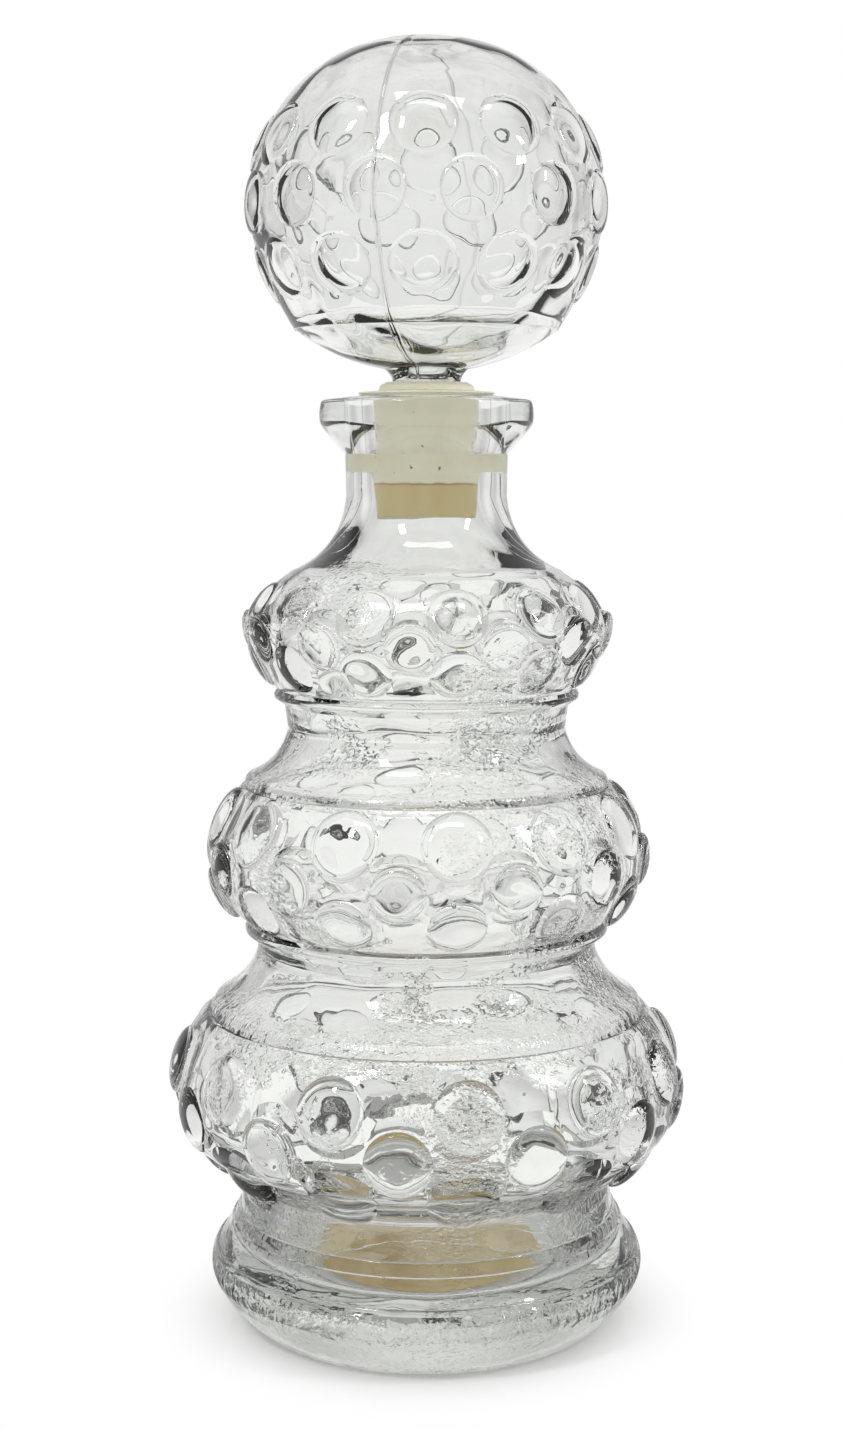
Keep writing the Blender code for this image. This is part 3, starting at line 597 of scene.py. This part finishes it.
# %% Clear glass
def glass(name, waves, ripples, marks, hammer, seam_turn, tint):
    """Clear glass with long waves, finer ripples, patches of water marks, a hammered skin and a mould seam.

    marks and hammer are strengths by height, as stops of (height in metres, strength), and seam_turn is the place
    of the seam in degrees from the front. The seam runs up one side and down the other, as between mould halves.
    """
    made, shader, tools, place = new_material(name)
    shader.inputs["Base Color"].default_value = GLASS_COLOUR
    shader.inputs["Roughness"].default_value = 0.0
    shader.inputs["IOR"].default_value = GLASS_BEND
    shader.inputs["Transmission Weight"].default_value = 1.0
    axes = tools.add("ShaderNodeSeparateXYZ")
    tools.link(place, axes.inputs[0])

    def noise(scale, detail, distortion, stretch=1.0):
        mapping = tools.add("ShaderNodeMapping")
        mapping.inputs["Scale"].default_value = (1.0, 1.0, stretch)
        tools.link(place, mapping.inputs["Vector"])
        return tools.noise(mapping.outputs["Vector"], scale, detail, distortion)

    def times(one, other):
        return tools.calculate("MULTIPLY", one, other)

    def by_height(stops):
        ends = [(0.0, stops[0][1]), (RAMP_TOP, stops[-1][1])]
        shares = [(height / RAMP_TOP, grey(strength)) for height, strength in ends[:1] + stops + ends[1:]]
        return tools.ramp(tools.calculate("DIVIDE", axes.outputs["Z"], RAMP_TOP), shares)

    def out_from_axis():
        level = tools.add("ShaderNodeVectorMath", operation="MULTIPLY")
        level.inputs[1].default_value = (1.0, 1.0, 0.0)
        tools.link(place, level.inputs[0])
        length = tools.add("ShaderNodeVectorMath", operation="LENGTH")
        tools.link(level.outputs["Vector"], length.inputs[0])
        return length.outputs["Value"]

    def away_from_seam():
        across = tools.add("ShaderNodeVectorMath", operation="DOT_PRODUCT")
        side = math.radians(seam_turn)
        across.inputs[1].default_value = (math.cos(side), math.sin(side), 0.0)
        tools.link(place, across.inputs[0])
        return tools.calculate("ABSOLUTE", across.outputs["Value"])

    patches = tools.remap(noise(48.0, 2.0, 0.3), 0.54, 0.62)
    specks = tools.remap(noise(760.0, 1.5, 0.3, 1.5), 0.50, 0.72)
    skin = tools.bump(times(times(specks, patches), by_height(marks)), 1.0, MARK_HEIGHT)
    outer_skin = tools.remap(out_from_axis(), *OUTER_SKIN)
    dents = times(noise(330.0, 2.0, 0.5, 0.7), times(by_height(hammer), outer_skin))
    skin = tools.bump(dents, 1.0, DENT_HEIGHT, skin)
    skin = tools.bump(noise(120.0, 1.0, 0.0), ripples, RIPPLE_HEIGHT, skin)
    skin = tools.bump(noise(42.0, 1.0, 0.3), waves, WAVE_HEIGHT, skin)
    seam = tools.remap(away_from_seam(), SEAM_HALF_WIDTH, 0.0)
    skin = tools.bump(seam, 1.0, SEAM_HEIGHT, skin)
    tools.link(skin, shader.inputs["Normal"])
    inside = tools.add("ShaderNodeVolumeAbsorption", Density=tint)
    inside.inputs["Color"].default_value = GLASS_INSIDE
    tools.link(inside.outputs["Volume"], made.node_tree.nodes["Material Output"].inputs["Volume"])
    return made


# %% Glass on the bottle and the ball
BOTTLE_MARKS = [(0.004, 0.15), (0.020, 0.05), (0.044, 0.30), (0.070, 0.22), (0.086, 0.1), (0.089, 0.9),
                (0.097, 0.9), (0.101, 0.1), (0.112, 0.25), (0.125, 0.15), (0.146, 0.1), (0.149, 0.8),
                (0.155, 0.8), (0.160, 0.1), (0.170, 0.15), (0.200, 0.05), (0.238, 0.0)]
BOTTLE_HAMMER = [(0.001, 0.05), (0.009, 0.2), (0.0112, 1.0), (0.0160, 1.0), (0.0180, 0.1), (0.020, 0.0),
                 (0.079, 0.0), (0.082, 0.35), (0.085, 0.0), (0.138, 0.0), (0.140, 0.4), (0.143, 0.0),
                 (0.238, 0.0)]
NONE_ON_BALL = [(0.213, 0.0), (0.325, 0.0)]

bottle.data.materials.append(glass(
    "bottle_glass", waves=0.32, ripples=0.10, marks=BOTTLE_MARKS, hammer=BOTTLE_HAMMER, seam_turn=90.0, tint=8.0))
ball.data.materials.append(glass(
    "stopper_glass", waves=0.85, ripples=0.12, marks=NONE_ON_BALL, hammer=NONE_ON_BALL, seam_turn=-16.0, tint=9.0))
print("glass on", bottle.name, "and", ball.name)

# %% [markdown]
# ## Cream plastic and tan paper
#
# The sleeve is soft plastic that has yellowed, with brown specks, and its plug is browner below a thin dirt line
# where the liquid stood. One flat cream would look new, so a cloud of two creams is stained by height, and the
# stain's edge wobbles with a noise. The paper is two tans under a fine fibre bump.

# %% The plastic of the sleeve
CREAM = [(0.0, (0.90, 0.85, 0.62, 1.0)), (1.0, (0.99, 0.96, 0.80, 1.0))]
SPECK_BROWN = (0.16, 0.10, 0.05, 1.0)
SPECK_EDGE = (0.68, 0.73)
STAIN = [(0.0, (0.74, 0.63, 0.38, 1.0)), (0.35, (0.72, 0.60, 0.36, 1.0)), (0.50, (0.42, 0.27, 0.12, 1.0)),
         (0.70, (0.98, 0.96, 0.90, 1.0)), (1.0, (1.0, 1.0, 1.0, 1.0))]
STAIN_HEIGHTS = (0.2155, 0.2175)
STAIN_WOBBLE = 0.0012
LIGHT_REACH = (0.004, 0.003, 0.0015)


def cream_plastic():
    """Aged cream plastic with brown specks, a dirt line at the rib's foot and a browner plug below it."""
    made, shader, tools, place = new_material("cream_plastic")
    shader.inputs["Roughness"].default_value = 0.42
    shader.inputs["Subsurface Weight"].default_value = 0.35
    shader.inputs["Subsurface Radius"].default_value = LIGHT_REACH
    shader.inputs["Subsurface Scale"].default_value = 1.0
    cloud = tools.noise(place, 160.0, 3.0)
    level = tools.add("ShaderNodeSeparateXYZ")
    tools.link(place, level.inputs[0])
    lifted = tools.calculate("MULTIPLY_ADD", tools.noise(place, 240.0, 3.0), STAIN_WOBBLE, level.outputs["Z"])
    stained = tools.add("ShaderNodeMix", data_type="RGBA", blend_type="MULTIPLY", Factor=1.0)
    tools.link(tools.ramp(cloud, CREAM), stained.inputs["A"])
    tools.link(tools.ramp(tools.remap(lifted, *STAIN_HEIGHTS, soft=False), STAIN), stained.inputs["B"])
    specked = tools.add("ShaderNodeMix", data_type="RGBA")
    tools.link(tools.remap(tools.noise(place, 520.0, 3.0), *SPECK_EDGE, soft=False), specked.inputs["Factor"])
    tools.link(stained.outputs["Result"], specked.inputs["A"])
    specked.inputs["B"].default_value = SPECK_BROWN
    tools.link(specked.outputs["Result"], shader.inputs["Base Color"])
    tools.link(tools.bump(cloud, 0.15, 0.0003), shader.inputs["Normal"])
    return made


sleeve.data.materials.append(cream_plastic())
print("plastic on", sleeve.name)

# %% The paper of the disc
TANS = [(0.35, (0.66, 0.41, 0.075, 1.0)), (0.65, (0.90, 0.69, 0.24, 1.0))]


def tan_paper():
    """Plain tan paper with faint fibres and stains."""
    made, shader, tools, place = new_material("tan_paper")
    shader.inputs["Roughness"].default_value = 0.85
    tools.link(tools.ramp(tools.noise(place, 90.0, 4.0), TANS), shader.inputs["Base Color"])
    tools.link(tools.bump(tools.noise(place, 1500.0, 2.0), 0.3, 0.0001), shader.inputs["Normal"])
    return made


disc.data.materials.append(tan_paper())
print("paper on", disc.name)

# %% [markdown]
# ## The floor
#
# Clear glass has no colour of its own: it shows what stands round it. On a pure white set it would vanish, so a
# studio puts grey cards beside the white. Close to the foot the floor is a plain surface that takes the bottle's
# shadow. Farther out it glows: pure white to the camera, while the glass sees a painted shadow of the bottle round
# the foot, a painted ring of light and greys beyond, which give the base its dark and bright bands.

# %% Lay the floor
FLOOR_RADIUS = 3.0
FLOOR_WHITE = 0.96
SHADOW_FADE = (0.045, 0.074)
# distance from the axis in metres, grey that the glass sees there: a painted shadow near the foot, a painted ring of
# light, greys beyond
FLOOR_PAINTED_SHADOW_AND_LIGHT_RING = [(0.06, 0.28), (0.090, 0.40), (0.096, 1.0), (0.140, 1.0), (0.155, 0.58), (0.22, 0.78), (0.60, 0.95)]

bpy.ops.object.select_all(action="DESELECT")
bpy.ops.mesh.primitive_circle_add(vertices=96, radius=FLOOR_RADIUS, fill_type="NGON", location=(0.0, 0.0, 0.0))
floor = bpy.context.active_object
floor.name = "floor"
floor_white, floor_shader, tools, place = new_material("floor_white")
floor_shader.inputs["Base Color"].default_value = grey(FLOOR_WHITE)
floor_shader.inputs["Roughness"].default_value = 0.9
floor_shader.inputs["Specular IOR Level"].default_value = 0.0
far = tools.add("ShaderNodeVectorMath", operation="LENGTH")
tools.link(place, far.inputs[0])
seen_by = tools.add("ShaderNodeLightPath")
# the glass sees the floor's painted shadow round the foot and its painted ring of light; the camera sees plain white
tone = tools.add("ShaderNodeMix", data_type="RGBA")
tools.link(seen_by.outputs["Is Camera Ray"], tone.inputs["Factor"])
tools.link(tools.ramp(far.outputs["Value"], [(far_out, grey(tint)) for far_out, tint in FLOOR_PAINTED_SHADOW_AND_LIGHT_RING]),
           tone.inputs["A"])
tone.inputs["B"].default_value = grey(1.0)
glow = tools.add("ShaderNodeEmission", Strength=1.0)
tools.link(tone.outputs["Result"], glow.inputs["Color"])
blend = tools.add("ShaderNodeMixShader")
tools.link(tools.remap(far.outputs["Value"], *SHADOW_FADE), blend.inputs[0])
tools.link(floor_shader.outputs[0], blend.inputs[1])
tools.link(glow.outputs[0], blend.inputs[2])
tools.link(blend.outputs[0], floor_white.node_tree.nodes["Material Output"].inputs["Surface"])
floor.data.materials.append(floor_white)
print("the floor is", FLOOR_RADIUS, "m in radius")

# %% [markdown]
# ## The sky
#
# The sky does the work of the cards: it is light at the horizon and darker half way up, and soft grey cards stand
# all round, so the bottle keeps grey edges from any side. Separate cards could be built, but then a turn of the
# bottle would show the gaps. The camera sees plain white, and plastic and paper are lit by plain white too.

# %% Paint the sky
# share of the way up, grey
SKY_GREYS = [(0.0, 0.80), (0.12, 0.79), (0.25, 0.86), (0.42, 0.88), (0.58, 0.68), (0.74, 0.62), (0.88, 0.85),
             (1.0, 0.85)]
CARDS_ROUND = 8.0
CARD_SHARE = 0.74
CARD_EDGE = 0.7

world = bpy.context.scene.world or bpy.data.worlds.new("studio")
bpy.context.scene.world = world
world.use_nodes = True
sky = world.node_tree
sky.nodes.clear()
tools = toolbox(sky)
parts = tools.add("ShaderNodeSeparateXYZ")
tools.link(tools.add("ShaderNodeTexCoord").outputs["Generated"], parts.inputs[0])
up_tone = tools.ramp(parts.outputs["Z"], [(share, grey(tint)) for share, tint in SKY_GREYS])
angle = tools.calculate("ARCTAN2", parts.outputs["Y"], parts.outputs["X"])
wave = tools.calculate("COSINE", tools.calculate("MULTIPLY", angle, CARDS_ROUND))
cards = tools.remap(wave, -1.0, CARD_EDGE, CARD_SHARE, 1.0, soft=False)
seen_by = tools.add("ShaderNodeLightPath")
plain = tools.calculate("MAXIMUM", seen_by.outputs["Is Camera Ray"], seen_by.outputs["Diffuse Depth"])
seen = tools.add("ShaderNodeMix", data_type="RGBA")
tools.link(plain, seen.inputs["Factor"])
tools.link(tools.calculate("MULTIPLY", up_tone, cards), seen.inputs["A"])
seen.inputs["B"].default_value = grey(1.0)
background = tools.add("ShaderNodeBackground", Strength=1.0)
tools.link(seen.outputs["Result"], background.inputs["Color"])
tools.link(background.outputs[0], tools.add("ShaderNodeOutputWorld").inputs["Surface"])
print("sky nodes:", len(sky.nodes))

# %% [markdown]
# ## The lamps
#
# Two small lamps, one at each side, give the glints on the dots and ledges, and a long box overhead draws a soft
# line of light on each shoulder. They could be one big lamp, but that would wash the glass out. None is seen
# through the glass.

# %% Hang the lamps
AIM = Vector((0.0, 0.0, 0.18))


def softbox(name, place, width, tall, power, only_shine=False):
    """A rectangular lamp that looks at the middle of the bottle and shows only as a reflection and as light."""
    turn = (AIM - Vector(place)).to_track_quat("-Z", "Y").to_euler()
    bpy.ops.object.light_add(type="AREA", location=place, rotation=turn)
    lamp = bpy.context.active_object
    lamp.name = name
    lamp.data.shape = "RECTANGLE"
    lamp.data.size = width
    lamp.data.size_y = tall
    lamp.data.energy = power
    lamp.visible_transmission = False
    lamp.visible_diffuse = not only_shine
    return lamp


lamps = [
    softbox("key_lamp", (-0.50, -0.60, 0.95), 0.13, 0.22, 2.4),
    softbox("side_lamp", (0.75, -0.35, 0.80), 0.10, 0.24, 1.6),
    softbox("over_box", (0.0, -0.36, 1.25), 0.80, 0.20, 3.0, True),
]
bpy.context.scene.view_settings.view_transform = "Standard"
print("lamps:", [lamp.name for lamp in lamps])

# %% [markdown]
# ## Pieces on their bodies
#
# Each piece rides on the body of its CAD node, and the CAD part that it stands in for is hidden.

# %% Put each piece on its body and hide its CAD part
for piece, node, body, slot in (
    (bottle, "bottle", "bottle", "bottle_glass"),
    (ball, "ball_stopper", "ball", "stopper_glass"),
    (sleeve, "stopper_sleeve", "sleeve", "sleeve_plastic"),
    (disc, "base_label", "bottle", "label_paper"),
):
    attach(piece, body)
    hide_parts(node)

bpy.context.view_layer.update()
for piece in (bottle, ball, sleeve, disc):
    piece.data.calc_loop_triangles()
    print(piece.name, "has", len(piece.data.loop_triangles), "triangles")
